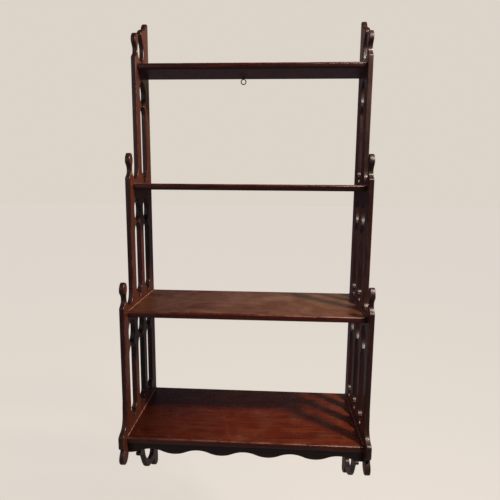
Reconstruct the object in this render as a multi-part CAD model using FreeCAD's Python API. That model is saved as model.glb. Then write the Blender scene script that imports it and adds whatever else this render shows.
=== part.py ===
import FreeCAD, Part
import math
import os

from FreeCAD import Vector

# A hanging wall shelf in mahogany: two pierced side boards that step forward
# in three falls, four shelves housed between them, and a scalloped apron.
# Millimetres. X runs to the right, Y runs back to the wall, Z runs up.
# Heights are worked out from the top of the bottom shelf. The finished pieces
# are moved so that the origin is the middle of the top shelf's back edge,
# which lies against the wall.

# Width and boards
clear_width = 450.0
side_board = 10.0
shelf_board = 12.0
apron_board = 8.0

# Height from the top of one shelf to the top of the next
bottom_bay = 242.0
middle_bay = 242.0
top_bay = 236.0

# Depth of each shelf from the wall
top_shelf_depth = 80.0
upper_shelf_depth = 126.0
lower_shelf_depth = 180.0
bottom_shelf_depth = 207.0

# Uprights and slots of the pierced sides, from the wall forward
back_stile = 29.0
slot_width = 36.0
bar_width = 19.0
front_stile = 22.0

# Slots of each bay: wood left under the shelf above and over the shelf below
top_slot_head_margin = 16.0
top_slot_foot_margin = 4.0
middle_slot_head_margin = 16.5
middle_slot_foot_margin = 8.0
bottom_slot_head_margin = 10.0
bottom_slot_foot_margin = 15.5

# Heights inside a slot
slot_head_height = 49.5
slot_shoulder_height = 19.0
slot_foot_height = 27.0

# Carved ends of the sides
finial_height = 57.5
crest_height = 99.0
base_reach = 28.0
cove_height = 60.0
block_height = 8.0
block_drop = 11.5
lobe_drop = 50.5
bracket_drop = 194.0

# Joints and fixings
housing_depth = 4.0
nosing_radius = 4.6
apron_setback = 7.0
apron_depth = 22.5
scallop_rise = 9.0
scallops = 5
block_length = 50.0
block_leg = 13.0
block_inset = 60.0
brad_thickness = 1.6
brad_length = 26.0
brad_inset_share = 0.2

# Screw eye under the back of the top shelf
eye_from_centre = 18.5
eye_from_wall = 7.0
eye_ring_radius = 5.2
eye_wire_radius = 1.1
eye_neck = 2.0
eye_thread = 7.5
wire_sides = 8

# Cuts run past the wood by this much
overrun = 2.0

# Sawn curves are runs of arcs that keep this close to the drawn line
curve_tolerance = 0.2

# Places that follow from the sizes above
slot_pitch = slot_width + bar_width
side_depths = [back_stile + slot_width + front_stile + slot_pitch * fall for fall in range(3)]
base_depth = side_depths[2] + base_reach
bottom_top = 0.0
lower_top = bottom_top + bottom_bay
upper_top = lower_top + middle_bay
top_top = upper_top + top_bay
side_inner = clear_width / 2
side_outer = side_inner + side_board
origin_height = top_top - shelf_board / 2

# Carved finial at the front of each fall: forward of the stile's front edge in
# shares of the slot pitch, above the shelf in shares of the finial's height
shoulder_share = (0.0, 0.17)
throat_shares = [(-0.08, 0.245), (-0.17, 0.33), (-0.20, 0.43), (-0.18, 0.53), (-0.11, 0.61)]
beak_share = (-0.045, 0.70)
head_shares = [(-0.05, 0.81), (-0.12, 0.93), (-0.235, 1.0), (-0.34, 0.93), (-0.385, 0.80),
               (-0.36, 0.66), (-0.31, 0.55), (-0.30, 0.44), (-0.33, 0.33)]
scoop_shares = [(-0.42, 0.235), (-0.56, 0.165), (-0.71, 0.15), (-0.85, 0.21), (-0.95, 0.36)]
scoop_back_share = (-1.0, 0.62)

# Crest over the top shelf: shares of the top depth forward of the wall, and of
# the crest's height
crest_back_share = (0.0, 0.985)
crest_shares = [(0.06, 1.0), (0.13, 0.965), (0.19, 0.90)]
crest_foot_share = (0.23, 0.84)
hook_shares = [(0.31, 0.815), (0.43, 0.765), (0.52, 0.705)]
hook_tip_share = (0.54, 0.64)
hook_under_shares = [(0.49, 0.575), (0.42, 0.50), (0.375, 0.43)]

# Cove from the lowest stile out to the base block: shares of the base's reach
# and of the cove's height
cove_shares = [(0.06, 0.70), (0.15, 0.38), (0.30, 0.22), (0.60, 0.12), (0.90, 0.06)]

# Lobe under the base block: shares of the base's depth and of the lobe's drop
block_corner_share = (0.985, 0.31)
lobe_notch_share = (0.96, 0.40)
lobe_shares = [(0.98, 0.51), (0.996, 0.63), (0.999, 0.76), (0.987, 0.89), (0.96, 0.99), (0.93, 0.99),
               (0.90, 0.91), (0.88, 0.775), (0.86, 0.56), (0.79, 0.385)]

# Bracket that runs down the wall below the bottom shelf: shares of the base's
# depth and of the bracket's drop
arch_shares = [(0.66, 0.088), (0.555, 0.125), (0.49, 0.215), (0.487, 0.315), (0.525, 0.39)]
curl_tip_share = (0.587, 0.428)
loop_shares = [(0.582, 0.459), (0.551, 0.487), (0.502, 0.518), (0.46, 0.585), (0.436, 0.645), (0.404, 0.711),
               (0.364, 0.768), (0.318, 0.807), (0.262, 0.83), (0.20, 0.843)]
heel_share = (0.147, 0.85)
foot_shares = [(0.135, 0.89), (0.13, 0.93), (0.088, 0.977), (0.04, 1.0)]
bracket_back_share = (0.0, 0.98)

# Pierced opening in the bracket, in the same shares
tongue_share = (0.275, 0.49)
opening_shares = [(0.31, 0.40), (0.38, 0.35), (0.435, 0.43), (0.432, 0.545), (0.39, 0.635), (0.32, 0.71),
                  (0.235, 0.76), (0.17, 0.75), (0.15, 0.67), (0.15, 0.50), (0.165, 0.37), (0.215, 0.335),
                  (0.25, 0.40)]

# Slot outline: half widths out from its middle line, and heights down from the
# head or up from the foot
arch_spring_share = 0.48
arch_knee_shares = (0.76, 0.17)
lens_foot_share = 0.52
lens_bulge_shares = (0.82, 0.79)
cusp_share = 0.32
shoulder_knee_shares = (0.84, 0.40)
foot_knee_shares = (0.84, 0.68)
foot_cusp_shares = (0.42, 0.56)
foot_bulge_shares = (0.47, 0.27)


def stretch(points):
    """Edges through the points: a line, an arc, or a smooth run of arcs."""
    if len(points) == 2:
        return [Part.LineSegment(points[0], points[1]).toShape()]
    if len(points) == 3:
        return [Part.Arc(points[0], points[1], points[2]).toShape()]
    curve = Part.BSplineCurve()
    curve.interpolate(points)
    return [arc.toShape() for arc in curve.toBiArcs(curve_tolerance)]


def plate(stretches, start, thickness):
    """Board of the given thickness whose outline lies in the plane x = start."""
    edges = []
    for points in stretches:
        edges += stretch([Vector(start, -depth, height) for depth, height in points])
    face = Part.Face(Part.Wire(edges))
    return face.extrude(Vector(thickness, 0, 0))


def finial_point(share, fall):
    """Place on the finial of one fall, as depth and height."""
    forward, up = share
    shelf_top = [top_top, upper_top, lower_top][fall]
    return (side_depths[fall] + forward * slot_pitch, shelf_top + up * finial_height)


def crest_point(share):
    """Place on the crest above the top shelf."""
    forward, up = share
    return (side_depths[0] * forward, top_top + up * crest_height)


def base_point(share):
    """Place on the bracket below the bottom shelf."""
    forward, down = share
    return (base_depth * forward, -down * bracket_drop)


def lobe_point(share):
    """Place on the lobe under the base block."""
    forward, down = share
    return (base_depth * forward, -down * lobe_drop)


def finial_stretches(fall):
    """Front edge of one fall, from its shoulder over the finial into the scoop."""
    throat = [finial_point(share, fall) for share in [shoulder_share] + throat_shares + [beak_share]]
    head = [finial_point(share, fall) for share in [beak_share] + head_shares + scoop_shares
            + [scoop_back_share]]
    return [throat, head]


def side_outline():
    """Closed outline of a side board, from the crest down the front and up the wall."""
    crest_back = crest_point(crest_back_share)
    crest_foot = crest_point(crest_foot_share)
    hook_tip = crest_point(hook_tip_share)
    outline = [[crest_back] + [crest_point(share) for share in crest_shares] + [crest_foot]]
    outline.append([crest_foot] + [crest_point(share) for share in hook_shares] + [hook_tip])
    outline.append([hook_tip] + [crest_point(share) for share in hook_under_shares]
                   + [finial_point(scoop_back_share, 0)])
    for fall in range(3):
        throat, head = finial_stretches(fall)
        if fall > 0:
            outline.append([finial_point(shoulder_share, fall - 1), head[-1]])
        outline.append(head[::-1])
        outline.append(throat[::-1])
    cove_top = (side_depths[2], block_height + cove_height)
    block_top = (base_depth, block_height)
    outline.append([finial_point(shoulder_share, 2), cove_top])
    cove = [(side_depths[2] + out * base_reach, block_height + up * cove_height) for out, up in cove_shares]
    outline.append([cove_top] + cove + [block_top])
    block_foot = (base_depth, -block_drop)
    lobe_notch = lobe_point(lobe_notch_share)
    outline.append([block_top, block_foot])
    outline.append([block_foot, lobe_point(block_corner_share), lobe_notch])
    curl_tip = base_point(curl_tip_share)
    outline.append([lobe_notch] + [lobe_point(share) for share in lobe_shares]
                   + [base_point(share) for share in arch_shares] + [curl_tip])
    heel = base_point(heel_share)
    bracket_back = base_point(bracket_back_share)
    outline.append([curl_tip] + [base_point(share) for share in loop_shares] + [heel])
    outline.append([heel] + [base_point(share) for share in foot_shares] + [bracket_back])
    outline.append([bracket_back, crest_back])
    return outline


def bracket_opening():
    """Outline of the pierced opening in the bracket, with the tongue at its top."""
    tongue = base_point(tongue_share)
    return [[tongue] + [base_point(share) for share in opening_shares] + [tongue]]


def slot_outline(middle, foot, head):
    """Fretwork slot: an arched head, two cusps, a long slot and a small lobe at the foot."""
    half = slot_width / 2
    outline = []
    for hand in (1, -1):
        spring = head - slot_head_height * arch_spring_share
        lens_foot = head - slot_head_height * lens_foot_share
        cusp_height = head - slot_head_height
        shoulder = cusp_height - slot_shoulder_height
        knee_out, knee_down = arch_knee_shares
        bulge_out, bulge_down = lens_bulge_shares
        shoulder_out, shoulder_down = shoulder_knee_shares
        foot_out, foot_up = foot_knee_shares
        cusp_out, cusp_up = foot_cusp_shares
        lobe_out, lobe_up = foot_bulge_shares

        def at(out, height):
            return (middle + hand * half * out, height)

        half_outline = [
            [at(0, head), at(knee_out, head - slot_head_height * knee_down), at(1, spring)],
            [at(1, spring), at(1, lens_foot)],
            [at(1, lens_foot), at(bulge_out, head - slot_head_height * bulge_down), at(cusp_share, cusp_height)],
            [at(cusp_share, cusp_height), at(shoulder_out, cusp_height - slot_shoulder_height * shoulder_down),
             at(1, shoulder)],
            [at(1, shoulder), at(1, foot + slot_foot_height)],
            [at(1, foot + slot_foot_height), at(foot_out, foot + slot_foot_height * foot_up),
             at(cusp_out, foot + slot_foot_height * cusp_up)],
            [at(cusp_out, foot + slot_foot_height * cusp_up), at(lobe_out, foot + slot_foot_height * lobe_up),
             at(0, foot)],
        ]
        if hand < 0:
            half_outline = [points[::-1] for points in reversed(half_outline)]
        outline += half_outline
    return outline


def slot_places():
    """Middle line, foot and head of every slot: one in the top bay, two and three below."""
    bays = [(upper_top + top_slot_foot_margin, top_top - shelf_board - top_slot_head_margin),
            (lower_top + middle_slot_foot_margin, upper_top - shelf_board - middle_slot_head_margin),
            (bottom_top + bottom_slot_foot_margin, lower_top - shelf_board - bottom_slot_head_margin)]
    for bay, (foot, head) in enumerate(bays):
        for slot in range(bay + 1):
            yield back_stile + slot_width / 2 + slot_pitch * slot, foot, head


def shelf(depth, top):
    """Shelf with a rounded front edge, its back edge on the wall and its ends in the sides."""
    length = clear_width + 2 * housing_depth
    flat = depth - nosing_radius
    bottom = top - shelf_board
    turn = nosing_radius * math.sin(math.pi / 4)
    upper_centre = top - nosing_radius
    lower_centre = bottom + nosing_radius
    outline = [
        [(0, bottom), (0, top)],
        [(0, top), (flat, top)],
        [(flat, top), (flat + turn, upper_centre + turn), (depth, upper_centre)],
        [(depth, upper_centre), (depth, lower_centre)],
        [(depth, lower_centre), (flat + turn, lower_centre - turn), (flat, bottom)],
        [(flat, bottom), (0, bottom)],
    ]
    return plate(outline, -length / 2, length)


def scallop_height(from_end):
    """Height of the scalloped edge over its lowest points, made of arcs that meet halfway up."""
    half_wave = clear_width / scallops / 2
    half_chord = half_wave / 2
    rise = scallop_rise / 2
    radius = (half_chord ** 2 + rise ** 2) / (2 * rise)
    wave = round(from_end / half_wave)
    away = from_end - wave * half_wave
    drop = radius - math.sqrt(radius ** 2 - away ** 2)
    return scallop_rise - drop if wave % 2 else drop


def apron():
    """Scalloped apron under the front of the bottom shelf."""
    front = bottom_shelf_depth - apron_setback
    top = bottom_top - shelf_board
    quarter = clear_width / scallops / 4

    def edge_point(from_end):
        return Vector(from_end - side_inner, -front, top - apron_depth + scallop_height(from_end))

    meets = [0] + [quarter * (2 * wave + 1) for wave in range(2 * scallops)] + [clear_width]
    edges = []
    for near, far in zip(meets, meets[1:]):
        edges += stretch([edge_point(near), edge_point((near + far) / 2), edge_point(far)])
    right_top = Vector(side_inner, -front, top)
    left_top = Vector(-side_inner, -front, top)
    edges += stretch([edge_point(clear_width), right_top])
    edges += stretch([right_top, left_top])
    edges += stretch([left_top, edge_point(0)])
    return Part.Face(Part.Wire(edges)).extrude(Vector(0, apron_board, 0))


def glue_block(middle):
    """Three-cornered block glued into the corner behind the apron."""
    back = bottom_shelf_depth - apron_setback - apron_board
    top = bottom_top - shelf_board
    corner = (back, top)
    outline = [[corner, (back, top - block_leg)], [(back, top - block_leg), (back - block_leg, top)],
               [(back - block_leg, top), corner]]
    return plate(outline, middle - block_length / 2, block_length)


def wire_section(middle):
    """Level section of the eye's wire around the given point."""
    corners = []
    for corner in range(wire_sides + 1):
        angle = 2 * math.pi * (corner + 1 / 2) / wire_sides
        corners.append(middle + Vector(math.cos(angle), math.sin(angle), 0) * eye_wire_radius)
    return Part.Face(Part.makePolygon(corners))


def screw_eye():
    """Ring of wire on a short neck, its thread in the underside of the top shelf."""
    ring_top = top_top - shelf_board - eye_neck
    ring_middle = Vector(-eye_from_centre, -eye_from_wall, ring_top - eye_ring_radius)
    beside_middle = ring_middle + Vector(eye_ring_radius, 0, 0)
    stem_foot = ring_middle + Vector(0, 0, eye_ring_radius)
    ring = wire_section(beside_middle).revolve(ring_middle, Vector(0, 1, 0), 360)
    stem = wire_section(stem_foot).extrude(Vector(0, 0, eye_neck + eye_thread))
    return ring.fuse(stem).removeSplitter()


def brads(depth, top):
    """Square cut brads driven through both sides into the ends of one shelf."""
    solids = []
    for along in (brad_inset_share, 1 - brad_inset_share):
        for hand in (-1, 1):
            middle = Vector(hand * (side_outer - brad_length / 2), -depth * along, top - shelf_board / 2)
            corner = middle - Vector(brad_length, brad_thickness, brad_thickness) / 2
            solids.append(Part.makeBox(brad_length, brad_thickness, brad_thickness, corner))
    return solids


# The pieces
shelf_places = {
    "top_shelf": (top_shelf_depth, top_top),
    "upper_shelf": (upper_shelf_depth, upper_top),
    "lower_shelf": (lower_shelf_depth, lower_top),
    "bottom_shelf": (bottom_shelf_depth, bottom_top),
}
shelves = {name: shelf(*place) for name, place in shelf_places.items()}
brad_solids = [brad for place in shelf_places.values() for brad in brads(*place)]

cutters = [plate(slot_outline(middle, foot, head), -side_board - overrun, 2 * (side_board + overrun))
           for middle, foot, head in slot_places()]
cutters.append(plate(bracket_opening(), -side_board - overrun, 2 * (side_board + overrun)))
blank = plate(side_outline(), -side_board / 2, side_board).cut(cutters)

eye = screw_eye()
pieces = {}
for name, hand in (("left_side", -1), ("right_side", 1)):
    board = blank.copy()
    board.translate(Vector(hand * (side_inner + side_board / 2), 0, 0))
    pieces[name] = board.cut(list(shelves.values()) + brad_solids)
for name, board in shelves.items():
    pieces[name] = board.cut(brad_solids + [eye])
pieces["apron"] = apron()
block_reach = side_inner - block_inset
for name, middle in (("left_glue_block", -block_reach), ("middle_glue_block", 0), ("right_glue_block", block_reach)):
    pieces[name] = glue_block(middle)
pieces["screw_eye"] = eye
pieces["shelf_brads"] = Part.makeCompound(brad_solids)

os.makedirs("parts", exist_ok=True)
for name, shape in pieces.items():
    shape.translate(Vector(0, 0, -origin_height))
    shape.exportStep(f"parts/{name}.step")
    solids = shape.Solids
    print(name, len(solids), "solid(s)", round(sum(solid.Volume for solid in solids)), "mm3", shape.isValid())
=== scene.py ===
import math

import bpy
from mathutils import Matrix, Vector


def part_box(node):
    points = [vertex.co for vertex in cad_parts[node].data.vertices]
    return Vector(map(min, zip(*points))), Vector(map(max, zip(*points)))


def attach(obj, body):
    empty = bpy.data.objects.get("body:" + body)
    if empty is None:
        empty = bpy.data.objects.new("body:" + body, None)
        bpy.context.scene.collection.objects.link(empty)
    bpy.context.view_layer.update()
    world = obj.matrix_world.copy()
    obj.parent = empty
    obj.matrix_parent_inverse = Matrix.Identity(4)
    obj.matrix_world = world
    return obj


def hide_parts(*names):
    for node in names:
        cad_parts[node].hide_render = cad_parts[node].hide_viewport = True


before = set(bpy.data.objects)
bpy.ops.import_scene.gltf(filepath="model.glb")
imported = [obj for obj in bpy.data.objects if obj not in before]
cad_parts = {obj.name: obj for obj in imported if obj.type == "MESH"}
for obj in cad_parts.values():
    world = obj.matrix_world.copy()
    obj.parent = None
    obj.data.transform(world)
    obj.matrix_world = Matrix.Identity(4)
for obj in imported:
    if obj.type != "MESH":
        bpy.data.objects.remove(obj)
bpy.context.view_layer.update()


# The pierced side boards. Each is one thin mahogany board, sawn out with a
# fretsaw, its long arrises rounded over with a file and the slots eased, then
# French polished. The shelves stand in shallow housings in its inner face.
outline_easing = 0.0018
slot_share = 0.65               # of the outline's easing, on the arrises of the slots
slot_back = 0.027               # the slots lie between these distances from the wall face
slot_fronts = (0.067, 0.122, 0.177)
housing_slack = 0.0002
brad_reach = 0.002              # from a shelf's middle height to past the rim of a brad's hole
brads_clear_of_back = 0.005
bracket_drop = 0.105            # from the bottom shelf to the middle of the bracket's opening
across, upward = 0, 2           # axes, for the run of the grain and of a darkening
face_slot, edge_slot, arris_slot = 0, 1, 2      # a board's materials, in their order
shelf_nodes = ("top_shelf", "upper_shelf", "lower_shelf", "bottom_shelf")
shelf_boxes = [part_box(node) for node in shelf_nodes]
shelf_middles = [(low.z + high.z) / 2 for low, high in shelf_boxes]
bay_middles = [(above + below) / 2 for above, below in zip(shelf_middles, shelf_middles[1:])]
bracket_middle = shelf_middles[-1] - bracket_drop


def linear(colour, alpha=1.0):
    """Linear colour from an sRGB hex value."""
    channels = [int(colour[place:place + 2], 16) / 255 for place in (1, 3, 5)]
    return [c / 12.92 if c <= 0.04045 else ((c + 0.055) / 1.055) ** 2.4 for c in channels] + [alpha]


def bare_material(name):
    """A new material and its node tree, emptied."""
    material = bpy.data.materials.new(name)
    material.use_nodes = True
    material.node_tree.nodes.clear()
    return material, material.node_tree


def add(tree, kind, sockets, **settings):
    """Node of a kind with its settings; each socket is given a value or linked to an output.

    Sockets that share a name are given by number. On a Map Range 0 is the value,
    1 and 2 are the range it comes from, and 3 and 4 the range it goes to. On a
    colour Mix 0 is the share, and 6 and 7 are the two colours.
    """
    node = tree.nodes.new(kind)
    for setting, value in settings.items():
        setattr(node, setting, value)
    for socket, source in sockets.items():
        if isinstance(source, bpy.types.NodeSocket):
            tree.links.new(source, node.inputs[socket])
        else:
            node.inputs[socket].default_value = source
    return node


def mahogany(name, grain, dark, middle, light, worn_and_highlight=None, rubbing=(0.42, 0.66), bloom=None,
             bloom_and_reflection_share=0.2, dent=None, painted_shade_end=None, polish=(0.30, 0.46)):
    """French-polished mahogany with its grain along an axis, rubbed to the worn colour in places.

    It gives the eye long reddish streaks, short dark pores, and soft bright
    reflections that waver over the hand-planed face and break up where the
    polish is rubbed. With a bloom colour the polish is also clouded in places
    and has fine slanting scratches; strong clouds are partly a painted
    reflection. A dent is a small dark bruise at a point. The rubbed colour is
    also used as a painted highlight on the shelves' front arrises. The argument
    for an end in painted shade is an axis, the two places on it between which
    the colour darkens as painted shade, and the share of the brightness that is
    left at the second. polish is the roughness of the polish where it is whole
    and where it is rubbed.
    """
    # Widths in millimetres. Real pores and fibres are about 0.2 wide and
    # wouldn't show, so they are coarser here.
    streak = 26
    ribbon = 5
    fibre = 1.6
    pore = 0.9
    rubbed_patch = 38
    planing = 42
    cloud = 55
    scratch = 1.2
    grain_bend = 160
    # How many times longer than wide the figure and the scratches are
    drawn_out = 22
    scratch_drawn_out = 16
    scratch_slant = math.radians(18)
    # Metres: the sway of the figure's lines, a dent's size, and the depths of the relief
    sway = 0.02
    bruise_core, bruise_rim = 0.002, 0.0055
    planing_depth = 0.0006
    grain_depth = 0.00012
    # Shares of a darker or lighter colour where it is strongest
    most_worn = 0.8
    pore_darkness = 0.55
    bruise_darkness = 0.85
    pore_colour = "#140604"
    stretch = [1.0, 1.0, 1.0]
    stretch[grain] = 1 / drawn_out
    material, tree = bare_material(name)
    place = add(tree, "ShaderNodeTexCoord", {}).outputs["Object"]
    drift = add(tree, "ShaderNodeTexNoise", {
        "Vector": place, "Scale": 1000 / grain_bend, "Detail": 1.0})
    centred = add(tree, "ShaderNodeVectorMath", {
        0: drift.outputs["Color"], 1: (0.5, 0.5, 0.5)}, operation="SUBTRACT")
    wander = add(tree, "ShaderNodeVectorMath", {
        0: centred.outputs[0], "Scale": sway}, operation="SCALE")
    moved = add(tree, "ShaderNodeVectorMath", {0: place, 1: wander.outputs[0]}, operation="ADD")
    along = add(tree, "ShaderNodeMapping", {
        "Vector": moved.outputs[0], "Scale": stretch}).outputs[0]
    streaks = add(tree, "ShaderNodeTexNoise", {
        "Vector": along, "Scale": 1000 / streak, "Detail": 3.0, "Roughness": 0.55,
        "Distortion": 0.2})
    ribbons = add(tree, "ShaderNodeTexNoise", {
        "Vector": along, "Scale": 1000 / ribbon, "Detail": 3.0, "Roughness": 0.6})
    fibres = add(tree, "ShaderNodeTexNoise", {
        "Vector": along, "Scale": 1000 / fibre, "Detail": 2.0})
    pores = add(tree, "ShaderNodeTexNoise", {
        "Vector": along, "Scale": 1000 / pore, "Detail": 1.0, "Distortion": 0.2})
    rubbed = add(tree, "ShaderNodeTexNoise", {
        "Vector": place, "Scale": 1000 / rubbed_patch, "Detail": 4.0, "Roughness": 0.6})

    streak_share = add(tree, "ShaderNodeMapRange", {0: streaks.outputs[0], 1: 0.32, 2: 0.68})
    ribbon_share = add(tree, "ShaderNodeMapRange", {
        0: ribbons.outputs[0], 1: 0.42, 2: 0.72, 4: 0.75})
    fibre_share = add(tree, "ShaderNodeMapRange", {
        0: fibres.outputs[0], 1: 0.35, 2: 0.65, 3: 0.80, 4: 1.08})
    pore_share = add(tree, "ShaderNodeMapRange", {0: pores.outputs[0], 1: 0.60, 2: 0.68})
    ground = add(tree, "ShaderNodeMix", {
        0: streak_share.outputs[0], 6: linear(dark), 7: linear(middle)}, data_type="RGBA")
    figured = add(tree, "ShaderNodeMix", {
        0: ribbon_share.outputs[0], 6: ground.outputs[2], 7: linear(light)}, data_type="RGBA")
    # The rubbed colour is wear, and on the shelves' front arrises partly a painted highlight
    if worn_and_highlight:
        worn_and_highlight_share = add(tree, "ShaderNodeMapRange", {
            0: rubbed.outputs[0], 1: rubbing[0], 2: rubbing[1], 4: most_worn})
        figured = add(tree, "ShaderNodeMix", {
            0: worn_and_highlight_share.outputs[0], 6: figured.outputs[2], 7: linear(worn_and_highlight)}, data_type="RGBA")
    if bloom:
        clouds = add(tree, "ShaderNodeTexNoise", {
            "Vector": place, "Scale": 1000 / cloud, "Detail": 3.0, "Distortion": 1.2})
        cloud_share = add(tree, "ShaderNodeMapRange", {
            0: clouds.outputs[0], 1: 0.42, 2: 0.72, 4: bloom_and_reflection_share})
        figured = add(tree, "ShaderNodeMix", {
            0: cloud_share.outputs[0], 6: figured.outputs[2], 7: linear(bloom)}, data_type="RGBA")
        slanting = add(tree, "ShaderNodeMapping", {
            "Vector": place, "Rotation": (0, 0, scratch_slant), "Scale": (scratch_drawn_out, 1, 1)},
            vector_type="TEXTURE").outputs[0]
        scratches = add(tree, "ShaderNodeTexNoise", {
            "Vector": slanting, "Scale": 1000 / scratch, "Detail": 0.0})
        scratch_line = add(tree, "ShaderNodeMapRange", {
            0: scratches.outputs[0], 1: 0.66, 2: 0.72})
        scratch_place = add(tree, "ShaderNodeMapRange", {
            0: clouds.outputs[0], 1: 0.58, 2: 0.66, 4: 0.6})
        scratch_share = add(tree, "ShaderNodeMath", {
            0: scratch_line.outputs[0], 1: scratch_place.outputs[0]}, operation="MULTIPLY")
        figured = add(tree, "ShaderNodeMix", {
            0: scratch_share.outputs[0], 6: figured.outputs[2], 7: linear(bloom)},
            data_type="RGBA")
    # Painted shade: the colour darkens along an axis between two places
    if painted_shade_end:
        axis, starts, ends, share_left = painted_shade_end
        distances = add(tree, "ShaderNodeSeparateXYZ", {0: place})
        painted_shade = add(tree, "ShaderNodeMapRange", {
            0: distances.outputs[axis], 1: starts, 2: ends, 3: 1.0, 4: share_left})
        fibre_share = add(tree, "ShaderNodeMath", {
            0: fibre_share.outputs[0], 1: painted_shade.outputs[0]}, operation="MULTIPLY")
    lined = add(tree, "ShaderNodeVectorMath", {
        0: figured.outputs[2], "Scale": fibre_share.outputs[0]}, operation="SCALE")
    pore_depth = add(tree, "ShaderNodeMath", {
        0: pore_share.outputs[0], 1: pore_darkness}, operation="MULTIPLY")
    coloured = add(tree, "ShaderNodeMix", {
        0: pore_depth.outputs[0], 6: lined.outputs[0], 7: linear(pore_colour)},
        data_type="RGBA")
    if dent:
        away = add(tree, "ShaderNodeVectorMath", {0: place, 1: dent}, operation="DISTANCE")
        bruise = add(tree, "ShaderNodeMapRange", {
            0: away.outputs["Value"], 1: bruise_core, 2: bruise_rim, 3: bruise_darkness, 4: 0.0})
        coloured = add(tree, "ShaderNodeMix", {
            0: bruise.outputs[0], 6: coloured.outputs[2], 7: linear(pore_colour)},
            data_type="RGBA")
    sheen = add(tree, "ShaderNodeMapRange", {
        0: rubbed.outputs[0], 1: 0.3, 2: 0.7, 3: polish[0], 4: polish[1]})
    relief = add(tree, "ShaderNodeMath", {
        0: pore_share.outputs[0], 1: -0.7, 2: fibres.outputs[0]}, operation="MULTIPLY_ADD")
    waves = add(tree, "ShaderNodeTexNoise", {
        "Vector": place, "Scale": 1000 / planing, "Detail": 2.0, "Distortion": 0.6})
    wavering = add(tree, "ShaderNodeBump", {
        "Height": waves.outputs[0], "Strength": 1.0, "Distance": planing_depth})
    bump = add(tree, "ShaderNodeBump", {
        "Height": relief.outputs[0], "Normal": wavering.outputs[0], "Strength": 0.35,
        "Distance": grain_depth})
    shader = add(tree, "ShaderNodeBsdfPrincipled", {
        "Base Color": coloured.outputs[2], "Roughness": sheen.outputs[0],
        "Normal": bump.outputs[0], "IOR": 1.5, "Coat Weight": 0.25, "Coat Roughness": 0.22})
    add(tree, "ShaderNodeOutputMaterial", {"Surface": shader.outputs[0]})
    return material


def eased_board(node, name, easing, weight_at, materials, cuts=()):
    """A CAD board's copy with its arrises rounded; the last of the materials is on the rounding.

    weight_at gives each arris its share of the easing. Each cut is a height at
    which the flat faces are divided, so that none has a hole.
    """
    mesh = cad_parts[node].data.copy()
    mesh.name = name
    mesh.materials.clear()
    piece = bpy.data.objects.new(name, mesh)
    bpy.context.collection.objects.link(piece)
    bpy.ops.object.select_all(action="DESELECT")
    piece.select_set(True)
    bpy.context.view_layer.objects.active = piece
    for material in materials:
        mesh.materials.append(material)
    bpy.ops.mesh.customdata_custom_splitnormals_clear()
    bpy.ops.object.mode_set(mode="EDIT")
    bpy.ops.mesh.select_mode(type="EDGE")
    bpy.ops.mesh.select_all(action="SELECT")
    bpy.ops.mesh.remove_doubles(threshold=0.00001)
    for height in cuts:
        bpy.ops.mesh.select_all(action="SELECT")
        bpy.ops.mesh.bisect(plane_co=(0, 0, height), plane_no=(0, 0, 1))
        bpy.ops.mesh.mark_seam()
    bpy.ops.mesh.select_all(action="SELECT")
    bpy.ops.mesh.dissolve_limited(angle_limit=math.radians(1), delimit={"SEAM"})
    bpy.ops.mesh.select_all(action="DESELECT")
    bpy.ops.mesh.edges_select_sharp(sharpness=math.radians(30))
    bpy.ops.object.mode_set(mode="OBJECT")
    weights = mesh.attributes.new("bevel_weight_edge", "FLOAT", "EDGE")
    for edge in mesh.edges:
        if edge.select:
            ends = [mesh.vertices[index].co for index in edge.vertices]
            weights.data[edge.index].value = weight_at(*ends)
    bevel = piece.modifiers.new("easing", "BEVEL")
    bevel.limit_method = "WEIGHT"
    bevel.width = easing
    bevel.segments = 3
    bevel.use_clamp_overlap = False
    bevel.material = len(materials) - 1
    bpy.ops.object.modifier_apply(modifier=bevel.name)
    bpy.ops.object.shade_smooth_by_angle(angle=math.radians(40))
    even = piece.modifiers.new("even", "WEIGHTED_NORMAL")
    even.keep_sharp = True
    bpy.ops.object.modifier_apply(modifier=even.name)
    return piece


def in_housing(point):
    """Whether a point of a side board lies in the housing of a shelf."""
    for low, high in shelf_boxes:
        if (low.x - housing_slack <= point.x <= high.x + housing_slack
                and low.y - housing_slack <= point.y <= high.y + housing_slack
                and low.z - housing_slack <= point.z <= high.z + housing_slack):
            return True
    return False


def in_slot(point):
    """Whether a point lies on the fretwork between the shelves rather than on the outline."""
    for above, below, slot_front in zip(shelf_boxes, shelf_boxes[1:], slot_fronts):
        if below[1].z < point.z < above[0].z:
            return slot_back < -point.y < slot_front
    return False


def at_brad(point):
    """Whether a point of a side board lies on the rim of a brad's square hole."""
    return any(low.y < point.y < high.y - brads_clear_of_back
               and abs(point.z - middle) < brad_reach
               for (low, high), middle in zip(shelf_boxes, shelf_middles))


def side_weight(first, second):
    """Share of the easing that an arris of a side gets: none in a housing or at a brad."""
    if in_housing(first) and in_housing(second) or at_brad(first) and at_brad(second):
        return 0.0
    return slot_share if in_slot((first + second) / 2) else 1.0


# Below the bottom shelf the sides are made darker as painted shade, for the shade that the bottom
# shelf and apron throw there
lobe_painted_shade = (upward, -0.738, -0.75, 0.45)
side_wood_with_lobe_shade = mahogany("french_polished_mahogany_upright_lobe_shaded", upward, "#471d0f", "#5c2a18", "#764029",
                     painted_shade_end=lobe_painted_shade)
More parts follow.
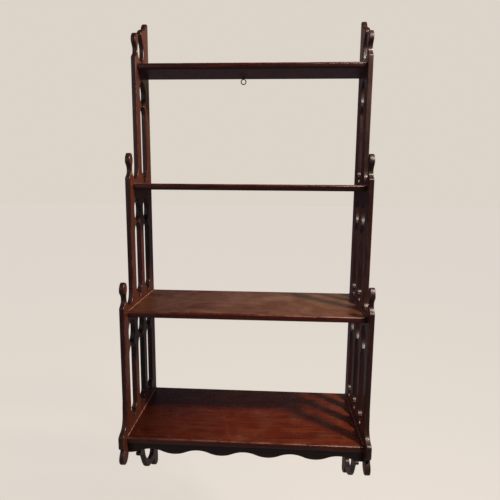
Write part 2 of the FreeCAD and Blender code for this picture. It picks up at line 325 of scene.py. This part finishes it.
# Sawn edges are darker than the faces: partly the stain and polish they soak up, and partly painted
# shade on the edges and slot walls, which the light grazes
side_edge_and_shade = mahogany("dark_sawn_edge_and_shade_upright", upward, "#240f0b", "#311510", "#432420")
side_arris = mahogany("rubbed_arris_upright", upward, "#29110b", "#371811", "#4b261c",
                      worn_and_highlight="#6a4136", rubbing=(0.5, 0.7))
for hand in ("left", "right"):
    side = eased_board(f"{hand}_side", f"{hand}_pierced_side", outline_easing, side_weight,
                       [side_wood_with_lobe_shade, side_edge_and_shade, side_arris],
                       cuts=shelf_middles + bay_middles + [bracket_middle])
    # Faces that don't look sideways take the darker edge wood, which is partly painted shade
    for face in side.data.polygons:
        looks_sideways = abs(face.normal.x) >= 0.5
        if face.material_index == face_slot and not looks_sideways:
            face.material_index = edge_slot
    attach(side, "root")
    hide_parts(f"{hand}_side")


# The four shelves. Each is a mahogany board with a rounded front edge, planed by
# hand, polished and set in the sides' housings; the third from the top is browner.
# Use has scratched them, dented the lowest and rubbed a lighter line along each
# front, which is partly a painted highlight; their dark fronts are partly painted
# shade.
shelf_easing = 0.0006
red_tones = ("#431504", "#581f05", "#73300b")
brown_tones = ("#451d0a", "#592a0f", "#723e1a")
deep_red_tones = ("#4a1504", "#611f04", "#7c300a")
shelf_wood = mahogany("french_polished_mahogany_shelf", across, *red_tones, bloom="#84563a")
# The two lower shelves darken toward the left end as painted shade
# Its strong clouds are partly polish bloom and partly a painted reflection
brown_wood_left_shaded = mahogany("browner_mahogany_shelf_left_shaded", across, *brown_tones, bloom="#8c6548",
                      bloom_and_reflection_share=0.45, painted_shade_end=(across, 0.06, -0.23, 0.7))
dented_wood_left_shaded = mahogany("dented_mahogany_shelf_left_shaded", across, *deep_red_tones, bloom="#84563a",
                       dent=(-0.165, -0.105, -0.714), painted_shade_end=(across, 0.0, -0.21, 0.33),
                       polish=(0.2, 0.33))
shelf_woods = (shelf_wood, shelf_wood, brown_wood_left_shaded, dented_wood_left_shaded)
# The fronts are darker than the tops, which is partly painted shade
shelf_edge_and_shade = mahogany("dark_moulded_edge_and_shade_shelf", across, "#260c08", "#34130d", "#481f17",
                      polish=(0.22, 0.34))
redder_edge_and_shade = mahogany("dark_moulded_edge_and_shade_lower_shelf", across, "#340e06", "#441509", "#5a2211",
                       polish=(0.22, 0.34))
shelf_edges_and_shade = (shelf_edge_and_shade, shelf_edge_and_shade, redder_edge_and_shade, redder_edge_and_shade)
# The lighter line along each front is partly wear and partly a painted highlight; on the lower
# shelves it also darkens toward the left end as painted shade
shelf_arris_wear_and_highlight = mahogany("rubbed_and_highlit_arris_shelf", across, "#3d1a12", "#552a1f", "#6e3c30",
                       worn_and_highlight="#a87e72", rubbing=(0.44, 0.66))
redder_arris_wear_highlight_and_shade = mahogany("rubbed_highlit_and_shaded_arris_lower_shelf", across, "#38150c", "#4a2014", "#5e2f22",
                        worn_and_highlight="#8c5844", rubbing=(0.42, 0.62),
                        painted_shade_end=(across, 0.08, -0.2, 0.35), polish=(0.26, 0.4))
shelf_arrises_wear_and_highlight = (shelf_arris_wear_and_highlight, redder_arris_wear_highlight_and_shade, redder_arris_wear_highlight_and_shade, redder_arris_wear_highlight_and_shade)


def even_weight(first, second):
    """Every arris has the whole easing."""
    return 1.0


for node, wood, edge, arris in zip(shelf_nodes, shelf_woods, shelf_edges_and_shade, shelf_arrises_wear_and_highlight):
    board = eased_board(node, f"{node}_board", shelf_easing, even_weight, [wood, edge, arris])
    for face in board.data.polygons:
        # The front is dark edge wood, partly painted shade, and where it turns up into the top face
        # it is rubbed lighter, partly a painted highlight
        looks_forward = face.normal.y < -0.75
        slants_forward = face.normal.y < -0.2
        if looks_forward:
            face.material_index = edge_slot
        elif slants_forward:
            face.material_index = arris_slot if face.normal.z > 0 else edge_slot
    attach(board, "root")
    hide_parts(node)


# The scalloped apron. A thin mahogany board glued under the front of the bottom
# shelf, its lower edge sawn in five scallops and its arrises just broken.
apron_easing = 0.0009
# Its dark tone is painted shade, for the shade under the bottom shelf's overhang
apron_wood_and_shade = mahogany("shade_darkened_mahogany_apron", across, "#1d0b09", "#29110c", "#3b1b13",
                      polish=(0.24, 0.36))
apron_arris = mahogany("rubbed_arris_apron", across, "#251110", "#351c17", "#482a22",
                       worn_and_highlight="#5d4038")
apron_board = eased_board("apron", "scalloped_apron", apron_easing, even_weight,
                          [apron_wood_and_shade, apron_arris])
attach(apron_board, "root")
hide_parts("apron")


# The line of old polish in each corner where a shelf meets a side. Polish and
# wax gather there and harden into a thin fillet that catches the light; its light
# amber colour is partly a painted highlight.
fillet = 0.001
hollow_share = 0.95             # of the fillet, taken by its hollow face
front_gap = 0.006               # the line stops short of the shelf's rounded front
side_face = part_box("left_side")[1].x


def hardened_polish_and_highlight(name):
    """Old shellac and wax: amber brown and uneven along its length, with a soft gloss."""
    ripple = 9                  # millimetres
    material, tree = bare_material(name)
    place = add(tree, "ShaderNodeTexCoord", {}).outputs["Object"]
    uneven = add(tree, "ShaderNodeTexNoise", {
        "Vector": place, "Scale": 1000 / ripple, "Detail": 3.0})
    share = add(tree, "ShaderNodeMapRange", {0: uneven.outputs[0], 1: 0.35, 2: 0.65})
    # The light amber tones are partly a painted highlight
    colour = add(tree, "ShaderNodeMix", {
        0: share.outputs[0], 6: linear("#6e3c2a"), 7: linear("#a8745e")}, data_type="RGBA")
    bump = add(tree, "ShaderNodeBump", {
        "Height": uneven.outputs[0], "Strength": 0.4, "Distance": 0.0003})
    shader = add(tree, "ShaderNodeBsdfPrincipled", {
        "Base Color": colour.outputs[2], "Roughness": 0.5, "Normal": bump.outputs[0],
        "IOR": 1.5})
    add(tree, "ShaderNodeOutputMaterial", {"Surface": shader.outputs[0]})
    return material


def pick(piece, kind, test):
    """Go to edit mode with only those faces or edges selected whose corners all pass the test."""
    bpy.ops.object.mode_set(mode="EDIT")
    bpy.ops.mesh.select_mode(type=kind)
    bpy.ops.mesh.select_all(action="DESELECT")
    bpy.ops.object.mode_set(mode="OBJECT")
    mesh = piece.data
    for part in (mesh.polygons if kind == "FACE" else mesh.edges):
        part.select = all(test(mesh.vertices[index].co) for index in part.vertices)
    bpy.ops.object.mode_set(mode="EDIT")


polish = hardened_polish_and_highlight("hardened_polish_and_highlight")
for node, (low, high) in zip(shelf_nodes, shelf_boxes):
    bpy.ops.object.select_all(action="DESELECT")
    run = -low.y - front_gap
    middle = Vector((side_face + fillet / 2, -run / 2, high.z + fillet / 2))
    bpy.ops.mesh.primitive_cube_add(size=1, location=middle)
    line = bpy.context.object
    line.name = f"{node}_polish_line"
    line.scale = (fillet, run, fillet)
    bpy.ops.object.transform_apply(location=True, rotation=True, scale=True)
    # The edge away from the corner is hollowed, then the line is mirrored to the other side
    pick(line, "EDGE", lambda end: end.x > middle.x and end.z > middle.z)
    bpy.ops.mesh.bevel(offset=fillet * hollow_share, segments=5, profile=0.3, affect="EDGES")
    bpy.ops.mesh.select_all(action="SELECT")
    bpy.ops.mesh.duplicate()
    bpy.ops.transform.mirror(constraint_axis=(True, False, False), center_override=(0, 0, 0))
    bpy.ops.mesh.select_all(action="SELECT")
    bpy.ops.mesh.normals_make_consistent(inside=False)
    bpy.ops.object.mode_set(mode="OBJECT")
    bpy.ops.object.shade_smooth_by_angle(angle=math.radians(50))
    line.data.materials.append(polish)
    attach(line, "root")


# The glue blocks behind the apron. Three-cornered blocks of pine, sawn, rubbed
# in with hot glue and left unpolished, so they have browned with age.
block_easing = 0.0005


def aged_pine(name):
    """Sawn pine, unpolished: straight pale and darker bands, dull all over."""
    band = 3.5                  # millimetres, as is the saw mark
    saw_mark = 1.5
    drawn_out = 20
    material, tree = bare_material(name)
    place = add(tree, "ShaderNodeTexCoord", {}).outputs["Object"]
    along = add(tree, "ShaderNodeMapping", {
        "Vector": place, "Scale": (1 / drawn_out, 1.0, 1.0)}).outputs[0]
    bands = add(tree, "ShaderNodeTexNoise", {
        "Vector": along, "Scale": 1000 / band, "Detail": 3.0})
    saw_marks = add(tree, "ShaderNodeTexNoise", {
        "Vector": place, "Scale": 1000 / saw_mark, "Detail": 2.0})
    share = add(tree, "ShaderNodeMapRange", {0: bands.outputs[0], 1: 0.35, 2: 0.65})
    colour = add(tree, "ShaderNodeMix", {
        0: share.outputs[0], 6: linear("#7a5230"), 7: linear("#a87b4c")}, data_type="RGBA")
    bump = add(tree, "ShaderNodeBump", {
        "Height": saw_marks.outputs[0], "Strength": 0.5, "Distance": 0.0002})
    shader = add(tree, "ShaderNodeBsdfPrincipled", {
        "Base Color": colour.outputs[2], "Roughness": 0.75, "Normal": bump.outputs[0]})
    add(tree, "ShaderNodeOutputMaterial", {"Surface": shader.outputs[0]})
    return material


pine = aged_pine("sawn_aged_pine")
for place in ("left", "middle", "right"):
    block = eased_board(f"{place}_glue_block", f"{place}_block", block_easing, even_weight, [pine])
    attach(block, "root")
    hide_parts(f"{place}_glue_block")


# The brads. Square cut steel brads driven through the sides into the shelf
# ends and punched flush. Only their dull ends show, so the solids stay as they are.
def dull_steel(name):
    """Old steel: grey-brown, with rust in patches."""
    rust_patch = 0.8            # millimetres
    material, tree = bare_material(name)
    place = add(tree, "ShaderNodeTexCoord", {}).outputs["Object"]
    patches = add(tree, "ShaderNodeTexNoise", {
        "Vector": place, "Scale": 1000 / rust_patch, "Detail": 3.0})
    share = add(tree, "ShaderNodeMapRange", {0: patches.outputs[0], 1: 0.4, 2: 0.6})
    colour = add(tree, "ShaderNodeMix", {
        0: share.outputs[0], 6: linear("#55504b"), 7: linear("#3d2418")}, data_type="RGBA")
    shader = add(tree, "ShaderNodeBsdfPrincipled", {
        "Base Color": colour.outputs[2], "Metallic": 0.8, "Roughness": 0.6})
    add(tree, "ShaderNodeOutputMaterial", {"Surface": shader.outputs[0]})
    return material


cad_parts["shelf_brads"].material_slots[0].material = dull_steel("dull_steel")


# The screw eye. A ring of brass wire bent round to just short of its own neck,
# its thread turned into the underside of the top shelf; the brass has gone dark.
eye_low, eye_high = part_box("screw_eye")
# The solid's wire has eight sides, and this is the radius to its corners
wire = (eye_high.y - eye_low.y) / 2 / math.cos(math.pi / 8)
ring_wire = wire * 0.95
neck_wire = wire * 0.9
neck_flare = 1.35               # how much wider the neck is at its end in the wood
neck_in_wood = 0.003
bent_short = (math.radians(55), math.radians(73))   # the gap beside the neck
ring = (eye_high.x - eye_low.x) / 2 - wire
ring_middle = Vector(((eye_low.x + eye_high.x) / 2, (eye_low.y + eye_high.y) / 2,
                      eye_low.z + ring + wire))


def dark_brass(name):
    """Brass wire gone brown, brighter where it is rubbed."""
    rubbed_patch = 2.2          # millimetres
    material, tree = bare_material(name)
    place = add(tree, "ShaderNodeTexCoord", {}).outputs["Object"]
    patches = add(tree, "ShaderNodeTexNoise", {
        "Vector": place, "Scale": 1000 / rubbed_patch, "Detail": 3.0})
    share = add(tree, "ShaderNodeMapRange", {0: patches.outputs[0], 1: 0.4, 2: 0.66})
    colour = add(tree, "ShaderNodeMix", {
        0: share.outputs[0], 6: linear("#1c150d"), 7: linear("#5a4626")}, data_type="RGBA")
    dulled = add(tree, "ShaderNodeMapRange", {
        0: patches.outputs[0], 1: 0.35, 2: 0.65, 3: 0.55, 4: 0.32})
    shader = add(tree, "ShaderNodeBsdfPrincipled", {
        "Base Color": colour.outputs[2], "Metallic": 1.0, "Roughness": dulled.outputs[0]})
    add(tree, "ShaderNodeOutputMaterial", {"Surface": shader.outputs[0]})
    return material


def in_gap(corner):
    """Whether a corner of the ring lies where the wire has been bent short."""
    turned = math.atan2(corner.z - ring_middle.z, corner.x - ring_middle.x)
    return bent_short[0] < turned < bent_short[1]


bpy.ops.object.select_all(action="DESELECT")
bpy.ops.mesh.primitive_torus_add(
    major_radius=ring, minor_radius=ring_wire, major_segments=64, minor_segments=14,
    location=ring_middle, rotation=(math.radians(90), 0, 0))
eye = bpy.context.object
eye.name = "screw_eye_ring"
bpy.ops.object.transform_apply(location=True, rotation=True, scale=True)
pick(eye, "FACE", in_gap)
bpy.ops.mesh.delete(type="FACE")
bpy.ops.mesh.select_all(action="SELECT")
bpy.ops.mesh.fill_holes(sides=20)
bpy.ops.mesh.select_all(action="DESELECT")
underside = shelf_boxes[0][0].z
neck_foot = ring_middle.z + ring
neck_middle = (underside + neck_in_wood + neck_foot) / 2
bpy.ops.mesh.primitive_cylinder_add(
    vertices=18, radius=neck_wire, depth=underside - neck_foot + neck_in_wood,
    location=(ring_middle.x, ring_middle.y, neck_middle))
pick(eye, "EDGE", lambda end: end.z > underside)
bpy.ops.transform.resize(value=(neck_flare, neck_flare, 1),
                         center_override=(ring_middle.x, ring_middle.y, underside))
bpy.ops.object.mode_set(mode="OBJECT")
bpy.ops.object.shade_smooth_by_angle(angle=math.radians(50))
eye.data.materials.clear()
eye.data.materials.append(dark_brass("dark_brass"))
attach(eye, "root")
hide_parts("screw_eye")


# Camera at the photograph's angle: a wide view from the front, a little to
# the right of the middle and looking down.
yaw, pitch, roll = math.radians(2.969), math.radians(-8.174), math.radians(-0.509)
aim = (Matrix.Rotation(yaw, 3, "Z") @ Matrix.Rotation(pitch, 3, "X")
       @ Matrix.Rotation(roll, 3, "Y") @ Matrix.Rotation(math.radians(90), 3, "X"))
focal_pixels, frame_pixels, sensor = 411.9, 500, 36
bpy.ops.object.camera_add(location=(0.0460, -0.9247, -0.2426), rotation=aim.to_euler())
camera = bpy.context.object
camera.data.sensor_width = sensor
camera.data.lens = focal_pixels / frame_pixels * sensor
bpy.context.scene.camera = camera

# Plain pale floor, well below because the shelf hangs. The camera sees it mostly
# as an even glow in the world's own tone, which a shadow still darkens a little.
# To the light it is a darker grey, so that it throws little back up.
pale = "#dcd4c9"
floor_height = -1.35
glow_share = 0.75
bpy.ops.mesh.primitive_plane_add(size=60, location=(0, 0, floor_height))
floor = bpy.context.object
floor.name = "floor"
floor_material, tree = bare_material("pale_floor")
rays = add(tree, "ShaderNodeLightPath", {})
seen = add(tree, "ShaderNodeMath", {
    0: rays.outputs["Is Camera Ray"], 1: glow_share}, operation="MULTIPLY")
tone = add(tree, "ShaderNodeMix", {
    0: rays.outputs["Is Camera Ray"], 6: linear("#86827e"), 7: linear(pale)}, data_type="RGBA")
matt = add(tree, "ShaderNodeBsdfDiffuse", {"Color": tone.outputs[2]})
even = add(tree, "ShaderNodeEmission", {"Color": linear(pale), "Strength": 1.28})
mixed = add(tree, "ShaderNodeMixShader", {
    0: seen.outputs[0], 1: matt.outputs[0], 2: even.outputs[0]})
add(tree, "ShaderNodeOutputMaterial", {"Surface": mixed.outputs[0]})
floor.data.materials.append(floor_material)

# The camera sees the world as one pale tone, and it lights softly from all round,
# most from behind. The gloss reflects a backdrop behind the shelf instead: warm,
# cooler low at the left and higher up, fading high up, low down, low at the left
# and far to the right, with a strip of shade off the middle. In front it is dim.
world = bpy.data.worlds.new("pale_studio")
bpy.context.scene.world = world
world.use_nodes = True
tree = world.node_tree
tree.nodes.clear()
rays = add(tree, "ShaderNodeLightPath", {})
direction = add(tree, "ShaderNodeTexCoord", {}).outputs["Generated"]
to_right, to_back, to_top = add(tree, "ShaderNodeSeparateXYZ", {0: direction}).outputs
behind = add(tree, "ShaderNodeMapRange", {0: to_back, 1: -0.2, 2: 0.6, 3: 0.06, 4: 0.54})
high_fade = add(tree, "ShaderNodeMapRange", {0: to_top, 1: 0.30, 2: 0.44, 3: 1.0, 4: 0.05})
low_fade = add(tree, "ShaderNodeMapRange", {0: to_top, 1: 0.06, 2: 0.22, 3: 0.12, 4: 1.0})
left = add(tree, "ShaderNodeMapRange", {0: to_right, 1: 0.1, 2: -0.25})
low = add(tree, "ShaderNodeMapRange", {0: to_top, 1: 0.34, 2: 0.26})
strip = add(tree, "ShaderNodeMath", {0: to_top, 1: 0.19, 2: 0.045}, operation="COMPARE")
aside = add(tree, "ShaderNodeMath", {0: to_right}, operation="ABSOLUTE")
off_middle = add(tree, "ShaderNodeMapRange", {0: aside.outputs[0], 1: 0.08, 2: 0.18})
shaded = add(tree, "ShaderNodeMath", {
    0: strip.outputs[0], 1: off_middle.outputs[0]}, operation="MULTIPLY")
right_gain = add(tree, "ShaderNodeMapRange", {0: to_right, 1: 0.05, 2: 0.2, 3: 1.0, 4: 1.6})
right_fade = add(tree, "ShaderNodeMapRange", {0: to_right, 1: 0.2, 2: 0.28, 3: 1.0, 4: 0.35})
strip_fade = add(tree, "ShaderNodeMapRange", {
    0: shaded.outputs[0], 3: right_gain.outputs[0], 4: 0.1})
low_left = add(tree, "ShaderNodeMath", {
    0: low.outputs[0], 1: left.outputs[0]}, operation="MULTIPLY")
low_left_fade = add(tree, "ShaderNodeMapRange", {0: low_left.outputs[0], 3: 1.0, 4: 0.4})
high = add(tree, "ShaderNodeMapRange", {0: to_top, 1: 0.28, 2: 0.46})
warm_or_left = add(tree, "ShaderNodeMix", {
    0: low_left.outputs[0], 6: linear("#e0c4a2"), 7: linear("#a6a2bc")}, data_type="RGBA")
backdrop_tone = add(tree, "ShaderNodeMix", {
    0: high.outputs[0], 6: warm_or_left.outputs[2], 7: linear("#b09cc8")}, data_type="RGBA")
by_height = add(tree, "ShaderNodeMath", {
    0: high_fade.outputs[0], 1: low_fade.outputs[0]}, operation="MULTIPLY")
by_left = add(tree, "ShaderNodeMath", {
    0: behind.outputs[0], 1: low_left_fade.outputs[0]}, operation="MULTIPLY")
by_side = add(tree, "ShaderNodeMath", {
    0: by_left.outputs[0], 1: right_fade.outputs[0]}, operation="MULTIPLY")
by_strip = add(tree, "ShaderNodeMath", {
    0: by_height.outputs[0], 1: strip_fade.outputs[0]}, operation="MULTIPLY")
shine = add(tree, "ShaderNodeMath", {
    0: by_strip.outputs[0], 1: by_side.outputs[0]}, operation="MULTIPLY")
backdrop = add(tree, "ShaderNodeBackground", {"Color": linear(pale), "Strength": 1.0})
reflected = add(tree, "ShaderNodeBackground", {
    "Color": backdrop_tone.outputs[2], "Strength": shine.outputs[0]})
from_behind = add(tree, "ShaderNodeMapRange", {0: to_back, 1: -0.2, 2: 0.6, 3: 0.2, 4: 0.6})
fill = add(tree, "ShaderNodeBackground", {
    "Color": linear("#dcd3ee"), "Strength": from_behind.outputs[0]})
unseen = add(tree, "ShaderNodeMixShader", {
    0: rays.outputs["Is Glossy Ray"], 1: fill.outputs[0], 2: reflected.outputs[0]})
mixed = add(tree, "ShaderNodeMixShader", {
    0: rays.outputs["Is Camera Ray"], 1: unseen.outputs[0], 2: backdrop.outputs[0]})
add(tree, "ShaderNodeOutputWorld", {"Surface": mixed.outputs[0]})

# Three lamps: the key and a weaker one high up at the right, and a wide faint one at the left
lamp_target = Vector((0, -0.1, -0.4))
for name, place, size, power, colour in (
        ("key", (0.86, -0.67, 0.72), 0.14, 28, "#fff0df"),
        ("second", (0.45, -0.77, 0.95), 0.16, 4, "#fff0df"),
        ("fill", (-1.1, -1.3, 0.2), 1.2, 2, "#e8eefc")):
    towards = lamp_target - Vector(place)
    bpy.ops.object.light_add(type="AREA", location=place,
                             rotation=towards.to_track_quat("-Z", "Y").to_euler())
    lamp = bpy.context.object
    lamp.name = name
    lamp.data.size = size
    lamp.data.energy = power
    lamp.data.color = linear(colour)[:3]

bpy.context.scene.view_settings.view_transform = "Standard"
